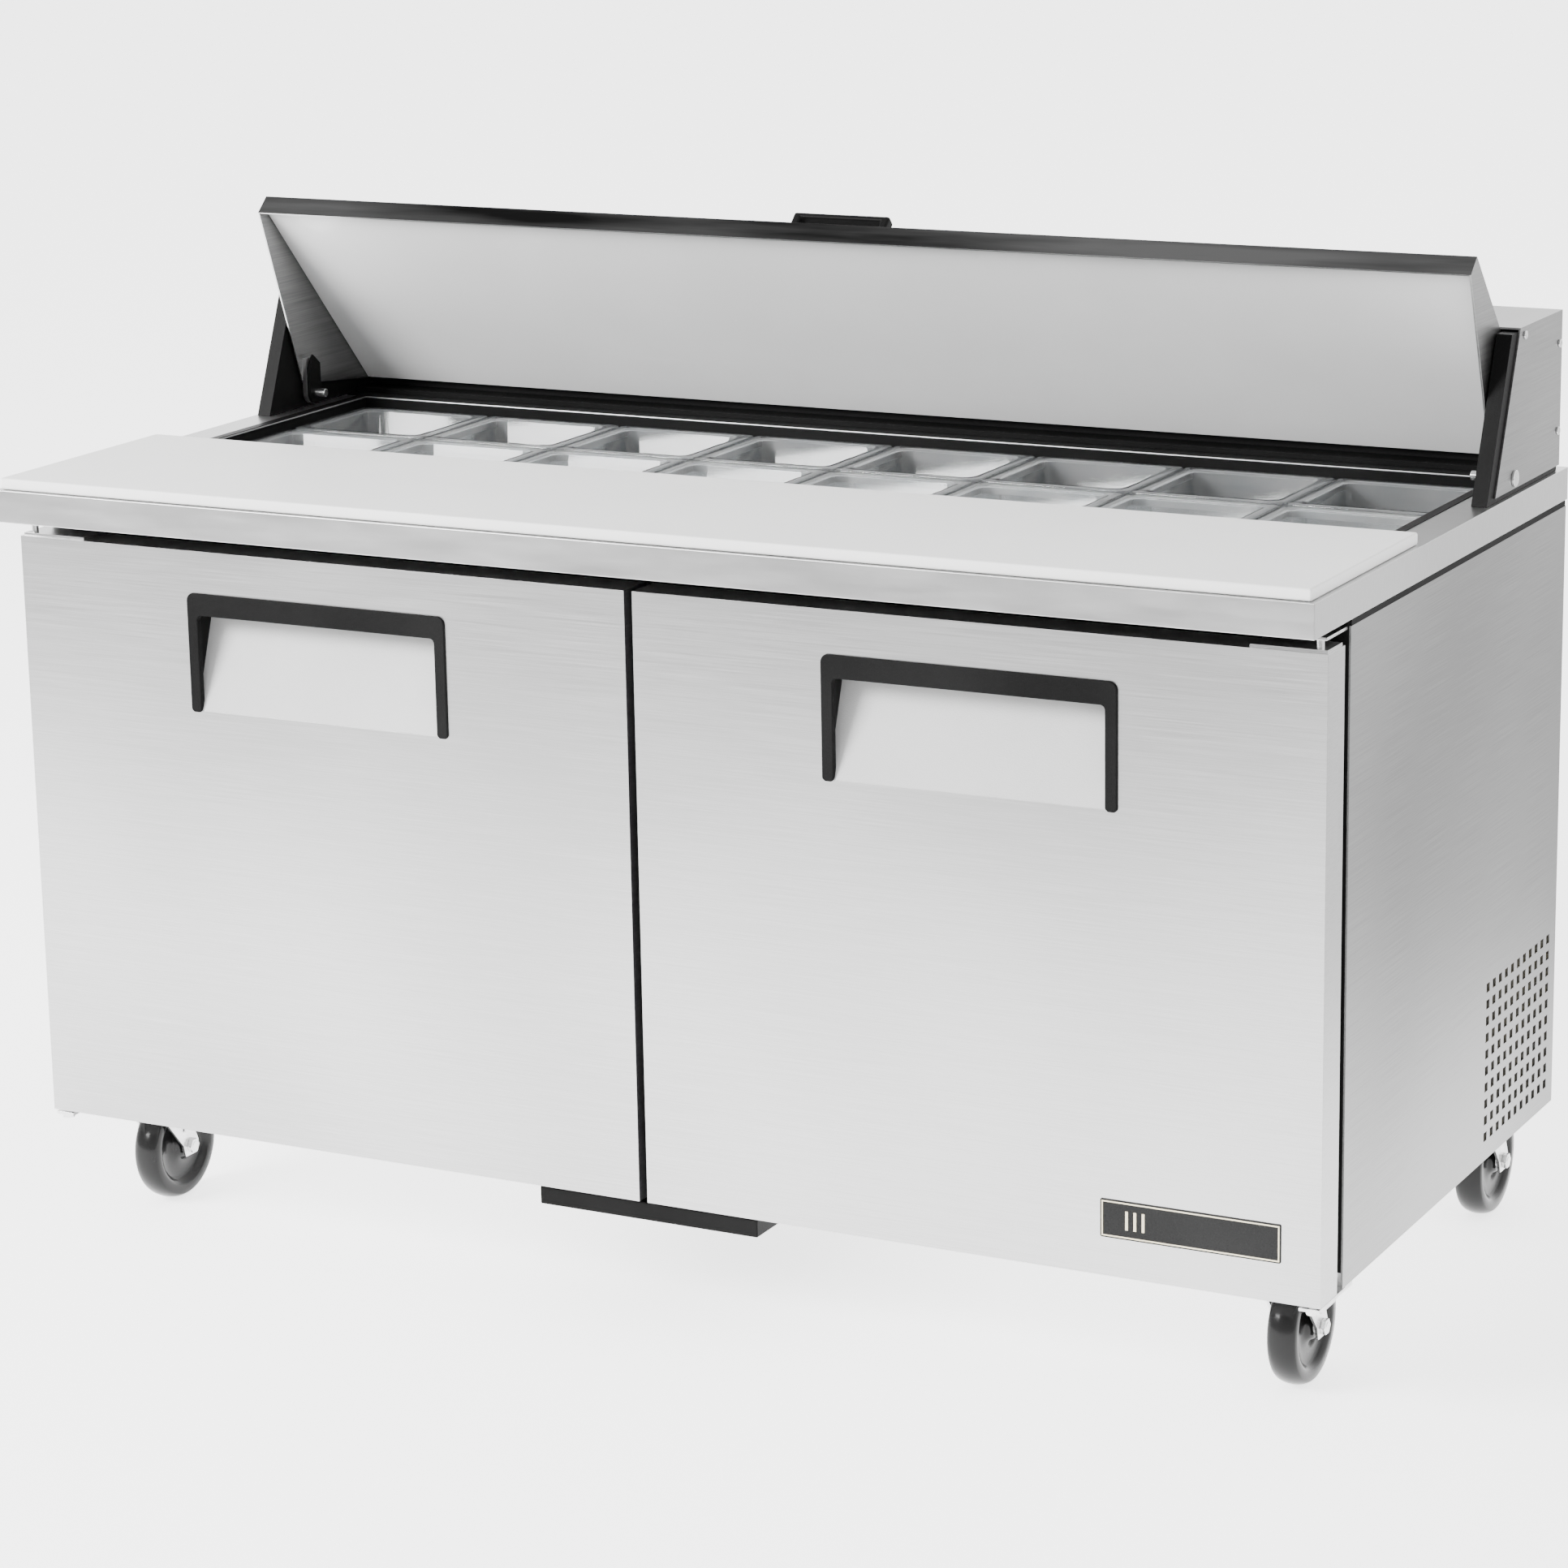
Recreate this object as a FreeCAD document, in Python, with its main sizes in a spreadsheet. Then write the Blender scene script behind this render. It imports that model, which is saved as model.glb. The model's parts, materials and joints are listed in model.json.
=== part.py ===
import FreeCAD, Part
import math
import os
import re
import Sketcher
from FreeCAD import Placement, Rotation, Vector

# Sandwich prep table: a two-door refrigerated cabinet on castors, with a pan rail
# under a wedge-shaped lid that folds back into a hood, and a cutting board in front.
# Frame: millimetres, +Z up, +X to the user's right, -Y towards the user.
# Origin on the floor, under the middle of the table as it stands.

DIMENSIONS = {
    # Overall
    "front_edge": -403, "counter_width": 1534, "counter_depth": 765,
    "counter_top": 857, "counter_band": 36, "sheet": 2,
    # Pan opening in the counter
    "opening_half": 718, "opening_front": 338, "opening_back": 678,
    "pan_pitch": 179, "pan_width": 176, "pan_length": 162, "pan_depth": 147,
    "pan_rim_high": 842, "pan_rim": 11, "pan_wall": 3,
    # Cutting board
    "board_width": 1524, "board_front": 3.7, "board_back": 300.2,
    "board_low": 857.3, "board_high": 870,
    # Doors
    "door_front": 40, "door_back": 86, "door_low": 134.5, "door_high": 799,
    "door_inner": 4.7, "door_outer": 766, "door_pivot_across": 754, "door_pivot_back": 51,
    "hinge_pin": 4, "running_fit": 0.05,
    # Carcass
    "case_half": 765, "frame_front": 99, "frame_back": 113, "case_low": 152,
    "panel_low": 136, "panel_high": 815, "case_back": 758, "wall": 46,
    "machine_front": 500, "machine_roof": 338, "case_high": 819,
    # Hood and lid (heights above the counter)
    "hood_high": 175, "hood_low": 6, "hood_foot": 531, "hood_brow": 602,
    "hood_back": 742, "hood_half": 764, "liner_lead": 22,
    "lid_half": 743, "lid_top_back": 519.5, "lid_top_high": 260, "lid_slope": 47.86,
    "lid_length": 318, "lid_thick": 15, "lid_lip": 25.2, "gable_along": 209.8,
    "gable_deep": 110.9, "lid_pivot_back": 590, "lid_pivot_high": 17.5, "lid_pin": 5,
    # Castors
    "wheel": 63.5, "tread_half": 16, "castor_across": 696, "castor_front": 137,
    "castor_back": 707.5, "castor_trail": 35, "axle": 5, "king_pin": 6,
}

doc = FreeCAD.newDocument("PrepTable")
sheet = doc.addObject("Spreadsheet::Sheet", "Dims")
for row, (alias, number) in enumerate(DIMENSIONS.items(), start=1):
    sheet.set(f"A{row}", alias)
    sheet.set(f"B{row}", str(number))
    sheet.setAlias(f"B{row}", alias)
doc.recompute()


class Size:
    """A length that knows its value and the sheet expression that gives it."""

    def __init__(self, value, text=None):
        self.value = float(value)
        self.text = text if text else f"({float(value):.6g})"

    def __add__(self, other):
        other = as_size(other)
        return Size(self.value + other.value, f"({self.text} + {other.text})")

    def __sub__(self, other):
        other = as_size(other)
        return Size(self.value - other.value, f"({self.text} - {other.text})")

    def __mul__(self, other):
        other = as_size(other)
        return Size(self.value * other.value, f"({self.text} * {other.text})")

    def __truediv__(self, other):
        other = as_size(other)
        return Size(self.value / other.value, f"({self.text} / {other.text})")

    def __neg__(self):
        return self * -1

    def __rsub__(self, other):
        return as_size(other) - self

    __radd__ = __add__
    __rmul__ = __mul__


def as_size(number):
    return number if isinstance(number, Size) else Size(number)


class Dimensions:
    """The sheet's named cells as Size values."""

    def __getattr__(self, alias):
        return Size(DIMENSIONS[alias], f"Dims.{alias}")


d = Dimensions()


def behind(distance):
    """Y of a point that lies this far behind the counter's front edge."""
    return d.front_edge + distance


def above(height):
    """Z of a point this far above the counter top."""
    return d.counter_top + height


def fresh(name):
    """A document name made of plain letters and digits."""
    return re.sub(r"\W", "_", name)


def bind(item, **sizes):
    for name, size in sizes.items():
        item.setExpression(name, as_size(size).text)


def move_to(item, x, y, z):
    item.Placement.Base = Vector(as_size(x).value, as_size(y).value, as_size(z).value)
    for axis, size in zip("xyz", (x, y, z)):
        item.setExpression(f".Placement.Base.{axis}", as_size(size).text)


def box(name, x0, x1, y0, y1, z0, z1):
    """A block between two corners."""
    block = doc.addObject("Part::Box", fresh(name))
    bind(block, Length=as_size(x1) - x0, Width=as_size(y1) - y0, Height=as_size(z1) - z0)
    move_to(block, x0, y0, z0)
    return block


AXIS_TURN = {
    "x": Rotation(Vector(0, 1, 0), 90),
    "y": Rotation(Vector(1, 0, 0), -90),
    "z": Rotation(),
}


def rod(name, axis, x, y, z, length, radius):
    """A round bar that starts at a point and runs along +X, +Y or +Z."""
    bar = doc.addObject("Part::Cylinder", fresh(name))
    bind(bar, Height=length, Radius=radius)
    bar.Placement = Placement(Vector(), AXIS_TURN[axis])
    move_to(bar, x, y, z)
    return bar


def plane_of(body, role):
    return next(item for item in body.Origin.OriginFeatures if item.Role == role)


def outline(body, role, points, offset):
    """A closed polygon sketch with every corner placed by the sheet."""
    sketch = body.newObject("Sketcher::SketchObject", fresh(body.Name + "Outline"))
    sketch.AttachmentSupport = [(plane_of(body, role), "")]
    sketch.MapMode = "FlatFace"
    sketch.setExpression(".AttachmentOffset.Base.z", as_size(offset).text)
    corners = [(as_size(u), as_size(v)) for u, v in points]
    for index, (u, v) in enumerate(corners):
        next_u, next_v = corners[(index + 1) % len(corners)]
        start = Vector(u.value, v.value, 0)
        end = Vector(next_u.value, next_v.value, 0)
        sketch.addGeometry(Part.LineSegment(start, end), False)
    for index in range(len(corners)):
        following = (index + 1) % len(corners)
        sketch.addConstraint(Sketcher.Constraint("Coincident", index, 2, following, 1))
    for index, (u, v) in enumerate(corners):
        for kind, size in (("DistanceX", u), ("DistanceY", v)):
            number = sketch.addConstraint(
                Sketcher.Constraint(kind, -1, 1, index, 1, size.value))
            sketch.setExpression(f"Constraints[{number}]", size.text)
    return sketch


def prism(name, role, points, low, high):
    """A body padded from a polygon between two stations along the plane's normal."""
    body = doc.addObject("PartDesign::Body", fresh(name))
    backwards = role == "XZ_Plane"
    sketch = outline(body, role, points, -as_size(low) if backwards else low)
    pad = body.newObject("PartDesign::Pad", fresh(name + "Pad"))
    pad.Profile = sketch
    pad.Reversed = backwards
    bind(pad, Length=as_size(high) - low)
    sketch.Visibility = False
    return body


def turned(name, points, x, y, z, axis):
    """A body turned about a line along X or Z through a point; points are (along, radius)."""
    body = doc.addObject("PartDesign::Body", fresh(name))
    sketch = outline(body, "XZ_Plane", points, 0)
    turn = body.newObject("PartDesign::Revolution", fresh(name + "Turn"))
    turn.Profile = sketch
    turn.ReferenceAxis = (sketch, ["H_Axis" if axis == "x" else "V_Axis"])
    turn.Angle = 360
    move_to(body, x, y, z)
    return body


def side_view(points):
    """Corners given as (distance behind the front edge, height)."""
    return [(behind(back), high) for back, high in points]


def cut(name, base, *tools):
    """The base with each tool taken away."""
    tool = tools[0] if len(tools) == 1 else fuse(name + "Tools", *tools)
    result = doc.addObject("Part::Cut", fresh(name))
    result.Base = base
    result.Tool = tool
    return result


def fuse(name, *pieces):
    result = doc.addObject("Part::MultiFuse", fresh(name))
    result.Shapes = list(pieces)
    return result


def group(name, *pieces):
    """Separate solids that share one node."""
    result = doc.addObject("Part::Compound", fresh(name))
    result.Links = list(pieces)
    return result


subparts = {}


def keep(node, item):
    """Give a finished sub-part the label that names its node."""
    item.Label = node
    subparts[node] = item
    return item


def ring(name, x0, x1, y0, y1, z0, z1, width):
    """An upright rectangular frame with members of one width."""
    outer = box(name + "Outer", x0, x1, y0, y1, z0, z1)
    hole = box(name + "Hole", as_size(x0) + width, as_size(x1) - width,
               as_size(y0) - 1, as_size(y1) + 1, as_size(z0) + width, as_size(z1) - width)
    return cut(name, outer, hole)


def span(side, near, far):
    """The x range from near to far on the right (+1) or left (-1) side."""
    near, far = as_size(near), as_size(far)
    return (near, far) if side > 0 else (-far, -near)


SIDES = {"left": -1, "right": 1}


def make_side_panels():
    """Outer side sheets with a field of square vent holes low at the back."""
    columns, rows, first_back, first_high, hole = 11, 10, 527, 158, 10
    pitch_back, pitch_high = 20.1, 18.7
    for word, side in SIDES.items():
        low, high = span(side, d.case_half, d.case_half + d.sheet)
        body = prism(f"SidePanel{word}", "YZ_Plane", side_view([
            (d.frame_front, d.panel_low), (d.case_back + 2, d.panel_low),
            (d.case_back + 2, d.panel_high), (d.frame_front, d.panel_high)]), low, high)
        doc.recompute()
        corner = [(first_back, first_high), (first_back + hole, first_high),
                  (first_back + hole, first_high + hole), (first_back, first_high + hole)]
        sketch = outline(body, "YZ_Plane", side_view(corner), high)
        pocket = body.newObject("PartDesign::Pocket", f"Vent{word}")
        pocket.Profile = sketch
        bind(pocket, Length=d.sheet)
        doc.recompute()
        field = body.newObject("PartDesign::MultiTransform", f"VentField{word}")
        field.Originals = [pocket]
        along = body.newObject("PartDesign::LinearPattern", f"VentRow{word}")
        along.Direction = (sketch, ["H_Axis"])
        along.Length = pitch_back * (columns - 1)
        along.Occurrences = columns
        upward = body.newObject("PartDesign::LinearPattern", f"VentColumn{word}")
        upward.Direction = (sketch, ["V_Axis"])
        upward.Length = pitch_high * (rows - 1)
        upward.Occurrences = rows
        field.Transformations = [along, upward]
        body.Tip = field
        keep(f"side_panel_{word}", body)


LINE_ACROSS, LINE_BACK, LINE_HOLE = -150, 660, 8


def line_hole(name):
    """The vertical passage of the refrigerant line through the machine roof."""
    return rod(name, "z", LINE_ACROSS, behind(LINE_BACK), 300, 120, LINE_HOLE)


def make_carcass():
    """Insulated box: floor, back, foam, food-side liner and front frame."""
    back_face = d.case_back - d.wall
    step_back = d.machine_front - d.wall
    floor = d.case_low + d.sheet + d.wall
    roof = d.machine_roof + d.wall
    keep("base_pan", box("BasePan", -d.case_half, d.case_half, behind(d.frame_back),
                         behind(d.case_back), d.case_low, d.case_low + d.sheet))
    keep("back_panel", box("BackPanel", -d.case_half, d.case_half, behind(d.case_back),
                           behind(d.case_back + d.sheet), d.machine_roof, d.case_high))
    foam = prism("Foam", "YZ_Plane", side_view([
        (d.frame_back, d.case_low + d.sheet), (d.machine_front, d.case_low + d.sheet),
        (d.machine_front, d.machine_roof), (d.case_back, d.machine_roof),
        (d.case_back, d.case_high), (d.frame_back, d.case_high)]),
        -d.case_half, d.case_half)
    cavity = prism("Cavity", "YZ_Plane", side_view([
        (d.frame_back - 1, floor), (step_back, floor), (step_back, roof), (back_face, roof),
        (back_face, d.case_high + 1), (d.frame_back - 1, d.case_high + 1)]),
        -d.opening_half - d.sheet, d.opening_half + d.sheet)
    keep("insulation", cut("Insulation", foam, cavity, line_hole("FoamPassage")))
    tub = prism("LinerTub", "YZ_Plane", side_view([
        (d.frame_back, floor), (step_back, floor), (step_back, roof), (back_face, roof),
        (back_face, d.case_high + 2), (d.frame_back, d.case_high + 2)]),
        -d.opening_half - d.sheet, d.opening_half + d.sheet)
    room = prism("LinerRoom", "YZ_Plane", side_view([
        (d.frame_back - 1, floor + d.sheet), (step_back - d.sheet, floor + d.sheet),
        (step_back - d.sheet, roof + d.sheet), (back_face - d.sheet, roof + d.sheet),
        (back_face - d.sheet, d.case_high + 5), (d.frame_back - 1, d.case_high + 5)]),
        -d.opening_half, d.opening_half)
    keep("inner_liner", cut("InnerLiner", tub, room, line_hole("LinerPassage")))
    face = box("FrameFace", -d.case_half, d.case_half, behind(d.frame_front),
               behind(d.frame_back), d.case_low, d.case_high + 2)
    openings = [box(f"FrameOpening{word}", *span(side, 40, 712), behind(d.frame_front - 1),
                    behind(d.frame_back + 1), 205, 760) for word, side in SIDES.items()]
    keep("front_frame", cut("FrontFrame", face, *openings))
    grille = box("Grille", -d.case_half, d.case_half, behind(d.case_back),
                 behind(d.case_back + d.sheet), d.case_low, d.machine_roof)
    slots = [box(f"Slot{bank}n{level}", -640 + 330 * bank, -360 + 330 * bank,
                 behind(d.case_back - 1), behind(d.case_back + 3),
                 180 + 18 * level, 186 + 18 * level)
             for bank in range(4) for level in range(8) if not (bank == 0 and level > 4)]
    gland_hole = rod("GlandHole", "y", -560, behind(750), 300, 20, 12)
    keep("rear_grille", cut("RearGrille", grille, gland_hole, *slots))


def make_counter():
    """Counter top with a turned-down band, and the pan rail hung in its opening."""
    half = d.counter_width / 2
    low = d.counter_top - d.counter_band
    slab = box("CounterSlab", -half, half, behind(0), behind(d.counter_depth),
               low, d.counter_top)
    hollow = box("CounterHollow", -half + d.sheet, half - d.sheet, behind(d.sheet),
                 behind(d.counter_depth - d.sheet), low - 1, d.counter_top - d.sheet)
    window = box("CounterWindow", -d.opening_half + 2, d.opening_half - 2,
                 behind(d.opening_front + 2), behind(d.opening_back - 2),
                 d.counter_top - 5, d.counter_top + 5)
    keep("counter_top", cut("CounterTop", slab, hollow, window))
    ledge_top = d.pan_rim_high - 0.3
    rail = box("RailOuter", -d.opening_half, d.opening_half, behind(d.opening_front),
               behind(d.opening_back), 790, d.counter_top - d.sheet)
    well = box("RailWell", -d.opening_half + 2, d.opening_half - 2,
               behind(d.opening_front + 2), behind(d.opening_back - 2), 789, 860)
    shelf = box("LedgeOuter", -d.opening_half + 1, d.opening_half - 1,
                behind(d.opening_front + 1), behind(d.opening_back - 1),
                ledge_top - 2, ledge_top)
    gap = box("LedgeGap", -d.opening_half + 10, d.opening_half - 10,
              behind(d.opening_front + 10), behind(d.opening_back - 8), 780, 860)
    keep("rail_liner", fuse("RailLiner", cut("RailWalls", rail, well),
                            cut("RailLedge", shelf, gap)))
    bar_half, ledge_gap = 7, 10
    inner = d.opening_half - ledge_gap
    front, back = d.opening_front + ledge_gap, d.opening_back - 8
    bars = [box("BarAcross", -inner, inner, behind(507.5 - bar_half), behind(507.5 + bar_half),
                ledge_top - 8, ledge_top)]
    for number in range(-3, 4):
        middle = d.pan_pitch * number
        for word, near, far in (("Front", front, 507.5 - bar_half),
                                ("Rear", 507.5 + bar_half, back)):
            bars.append(box(f"Bar{word}{number}", middle - bar_half, middle + bar_half,
                            behind(near), behind(far), ledge_top - 8, ledge_top))
    keep("pan_bars", group("PanBars", *bars))


def make_pan(name, x, back):
    """One deep tapered pan with a flat rim, open at the top."""
    half_wide, half_long = d.pan_width / 2, d.pan_length / 2
    y = behind(back)
    rim = box(name + "Rim", x - half_wide, x + half_wide, y - half_long, y + half_long,
              d.pan_rim_high, d.pan_rim_high + d.pan_wall)
    skins = []
    for word, inset, drop in (("Out", d.pan_rim, 0), ("In", d.pan_rim + d.pan_wall, 1)):
        wedge = doc.addObject("Part::Wedge", fresh(name + word))
        wide, length = half_wide - inset, half_long - inset
        taper = 7
        bind(wedge, Xmin=-wide + taper, Xmax=wide - taper, Zmin=-length + taper,
             Zmax=length - taper, X2min=-wide, X2max=wide, Z2min=-length, Z2max=length,
             Ymin=0, Ymax=d.pan_depth + 2 * drop)
        wedge.Placement = Placement(Vector(), Rotation(Vector(1, 0, 0), 90))
        move_to(wedge, x, y, d.pan_rim_high - d.pan_depth + d.pan_wall * drop)
        skins.append(wedge)
    return cut(name, fuse(name + "Body", rim, skins[0]), skins[1])


def make_pans():
    """Two rows of eight pans, lifted out by hand."""
    for row_word, back in (("front", 424), ("rear", 591)):
        for side_word, first in (("left", -4), ("right", 0)):
            pans = [make_pan(f"Pan{row_word}{side_word}{number}",
                             d.pan_pitch * (first + number + 0.5), back)
                    for number in range(4)]
            keep(f"pans_{row_word}_{side_word}", group(f"Pans{row_word}{side_word}", *pans))


def make_board():
    keep("cutting_board", box("Board", -d.board_width / 2, d.board_width / 2,
                              behind(d.board_front), behind(d.board_back),
                              d.board_low, d.board_high))


def hood_side(lead, drop, low):
    """Side outline of the hood; lead moves its leaning front edge towards the user."""
    return side_view([(d.hood_foot - lead, above(low)), (d.hood_back - drop, above(low)),
                      (d.hood_back - drop, above(d.hood_high - drop)),
                      (d.hood_brow - lead, above(d.hood_high - drop))])


def make_hood():
    """Stainless hood, its black side liners, the pivot pins and the screws."""
    shell = prism("HoodShell", "YZ_Plane", hood_side(0, 0, d.hood_low),
                  -d.hood_half, d.hood_half)
    inside = prism("HoodInside", "YZ_Plane", hood_side(60, d.sheet, d.hood_low - 1),
                   -d.hood_half + d.sheet, d.hood_half - d.sheet)
    brow = prism("HoodBrow", "YZ_Plane", side_view([
        (d.hood_brow, above(d.hood_high)), (d.hood_brow + 3, above(d.hood_high)),
        (620.6, above(154.5)), (619, above(153.4))]), -744.7, 744.7)
    pin_back, pin_high = d.lid_pivot_back, above(d.lid_pivot_high)
    hood = fuse("HoodPanels", cut("HoodTray", shell, inside), brow)
    holes = rod("HoodPinHole", "x", -d.hood_half - 5, behind(pin_back), pin_high,
                d.hood_half * 2 + 10, d.lid_pin)
    keep("hood", cut("Hood", hood, holes))
    plates = []
    for word, side in SIDES.items():
        plates.append(prism(f"HoodCheek{word}", "YZ_Plane",
                            hood_side(d.liner_lead, 4, 0.3), *span(side, 745, 762)))
    sill = box("HoodSill", -745, 745, behind(700), behind(d.hood_back - 4),
               above(0), above(d.hood_low))
    liner = fuse("HoodLinerParts", sill, *plates)
    cheek_hole = rod("CheekPinHole", "x", -770, behind(pin_back), pin_high, 1540, d.lid_pin)
    keep("hood_liner", cut("HoodLiner", liner, cheek_hole))
    fittings = []
    for word, side in SIDES.items():
        pin = rod(f"LidPin{word}", "x", span(side, 717, 764)[0], behind(pin_back), pin_high,
                  47, d.lid_pin)
        head = rod(f"LidPinHead{word}", "x", span(side, 764, 767)[0], behind(pin_back),
                   pin_high, 3, 9)
        fittings.append(fuse(f"LidBolt{word}", pin, head))
        for number, (back, high) in enumerate(((615, 166), (732, 45), (732, 140))):
            fittings.append(rod(f"HoodScrew{word}{number}", "x", span(side, 764, 766.5)[0],
                                behind(back), above(high), 2.5, 4.5))
    keep("hood_fasteners", group("HoodFasteners", *fittings))


def lid_point(along, inward):
    """A point of the open lid: along its skin from the lip, and in from its outer face."""
    slope = math.radians(d.lid_slope.value)
    run = Size(math.cos(slope), "cos(Dims.lid_slope * 1 deg)")
    fall = Size(math.sin(slope), "sin(Dims.lid_slope * 1 deg)")
    along, inward = as_size(along), as_size(inward)
    return (d.lid_top_back + along * run - inward * fall,
            above(d.lid_top_high - along * fall - inward * run))


def make_lid():
    """Wedge lid: folded skin with gables and pivot ears, white liner and a bow handle."""
    wide = d.lid_half
    end = d.lid_length
    skin = prism("LidSheet", "YZ_Plane", side_view([
        lid_point(0, 0), lid_point(end, 0), lid_point(end, 2), lid_point(2, 2),
        lid_point(2, d.lid_lip), lid_point(0, d.lid_lip)]), -wide, wide)
    pieces = [skin]
    pin_back, pin_high = d.lid_pivot_back, above(d.lid_pivot_high)
    for word, side in SIDES.items():
        pieces.append(prism(f"Gable{word}", "YZ_Plane", side_view([
            lid_point(0, 0), lid_point(end, 0), lid_point(end, d.lid_thick),
            lid_point(d.gable_along, d.gable_deep), lid_point(0, d.lid_lip)]),
            *span(side, wide - 2, wide)))
        low, high = span(side, wide - 8, wide - 2)
        ear = prism(f"Ear{word}", "YZ_Plane", side_view([
            (pin_back - 13, pin_high), (pin_back + 13, pin_high),
            (pin_back + 13, pin_high + 42), (pin_back - 13, pin_high + 42)]), low, high)
        boss = rod(f"EarBoss{word}", "x", low, behind(pin_back), pin_high, 6, 13)
        pieces += [ear, boss]
    bore = rod("LidBore", "x", -wide - 5, behind(pin_back), pin_high, wide * 2 + 10,
               d.lid_pin + d.running_fit)
    keep("lid_skin", cut("LidSkin", fuse("LidShell", *pieces), bore))
    keep("lid_liner", prism("LidLiner", "YZ_Plane", side_view([
        lid_point(2, 2), lid_point(end - 1, 2), lid_point(end - 1, d.lid_thick),
        lid_point(2, d.lid_thick)]), -wide + 2, wide - 2))
    grip = prism("GripBar", "YZ_Plane", side_view([
        lid_point(10, 0), lid_point(10, -24), lid_point(24, -24), lid_point(24, 0)]), -59, 59)
    finger = prism("GripGap", "YZ_Plane", side_view([
        lid_point(5, 1), lid_point(5, -17), lid_point(30, -17), lid_point(30, 1)]), -49, 49)
    keep("lid_handle", cut("LidHandle", grip, finger))


def make_doors():
    """Two hinged doors: stainless skin, foamed inner panel, gasket and recessed handle."""
    for word, side in SIDES.items():
        pin_x = d.door_pivot_across * side
        pin_y = behind(d.door_pivot_back)
        tray = box(f"DoorTray{word}", *span(side, d.door_inner, d.door_outer),
                   behind(d.door_front), behind(d.door_back), d.door_low, d.door_high)
        inside = box(f"DoorInside{word}", *span(side, d.door_inner + 2, d.door_outer - 2),
                     behind(d.door_front + 2), behind(d.door_back + 1),
                     d.door_low + 2, d.door_high - 2)
        grip_x = span(side, 226, 544)
        grip_hole = box(f"GripHole{word}", *grip_x, behind(d.door_front - 1),
                        behind(d.door_front + 3), 622, 750)
        plate = box(f"HingePlate{word}", *span(side, 684, 764), behind(44), behind(84),
                    d.door_high, d.door_high + 3)
        bores = [rod(f"DoorBore{word}{number}", "z", pin_x, pin_y, low, 50,
                     d.hinge_pin + d.running_fit)
                 for number, low in enumerate((d.door_low - 15, d.door_high - 25))]
        skin = fuse(f"DoorSheet{word}", cut(f"DoorShell{word}", tray, inside, grip_hole), plate)
        keep(f"door_skin_{word}", cut(f"DoorSkin{word}", skin, *bores))
        core = box(f"DoorCore{word}", *span(side, d.door_inner + 2, d.door_outer - 2),
                   behind(d.door_front + 2), behind(d.door_back + 3.5),
                   d.door_low + 2, d.door_high - 2)
        tub_side = side_view([(d.door_front, 622), (d.door_front, 750),
                              (d.door_front + 36, 750), (d.door_front + 36, 722)])
        recess = prism(f"Recess{word}", "YZ_Plane", tub_side, *grip_x)
        core_bores = [rod(f"CoreBore{word}{number}", "z", pin_x, pin_y, low, 50,
                          d.hinge_pin + d.running_fit)
                      for number, low in enumerate((d.door_low - 15, d.door_high - 25))]
        keep(f"door_panel_{word}", cut(f"DoorPanel{word}", core, recess, *core_bores))
        keep(f"door_gasket_{word}", ring(
            f"DoorGasket{word}", *span(side, 20, 745), behind(d.door_back + 3.5),
            behind(d.frame_front - 0.3), 180, 785, 18))
        tub = prism(f"Tub{word}", "YZ_Plane", tub_side, *grip_x)
        hollow = prism(f"TubHollow{word}", "YZ_Plane", side_view([
            (d.door_front - 1, 625), (d.door_front - 1, 747.5), (d.door_front + 33.5, 747.5),
            (d.door_front + 33.5, 722)]), *span(side, 228.5, 541.5))
        bezel = box(f"Bezel{word}", *span(side, 222, 548), behind(d.door_front - 2.5),
                    behind(d.door_front), 620, 753)
        window = box(f"BezelWindow{word}", *span(side, 236, 534), behind(d.door_front - 4),
                     behind(d.door_front + 1), 618, 728)
        keep(f"door_handle_{word}", fuse(f"DoorHandle{word}",
                                         cut(f"TubShell{word}", tub, hollow),
                                         cut(f"BezelFrame{word}", bezel, window)))
    keep("badge", box("Badge", 529, 724, behind(d.door_front - 1.2), behind(d.door_front),
                      176, 217))


def make_hinge_brackets():
    """Fixed halves of the door hinges, with their pins, above and below each door."""
    pieces = []
    for word, side in SIDES.items():
        pin_x = d.door_pivot_across * side
        pin_y = behind(d.door_pivot_back)
        top = box(f"TopArm{word}", *span(side, 684, 764), behind(42), behind(d.frame_front),
                  812, 815)
        top_pin = rod(f"TopPin{word}", "z", pin_x, pin_y, d.door_high - 20, 35, d.hinge_pin)
        pieces.append(fuse(f"TopHinge{word}", top, top_pin))
        low = box(f"LowArm{word}", *span(side, 742, 764), behind(42), behind(135), 128.5, 132)
        hanger = box(f"LowHanger{word}", *span(side, 742, 764), behind(115), behind(135),
                     130, d.case_low)
        low_pin = rod(f"LowPin{word}", "z", pin_x, pin_y, 124, 30, d.hinge_pin)
        nut = rod(f"LowNut{word}", "z", pin_x, pin_y, 124, 4.5, 7)
        pieces.append(fuse(f"LowHinge{word}", low, hanger, low_pin, nut))
    keep("door_hinge_brackets", group("DoorHingeBrackets", *pieces))


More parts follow.
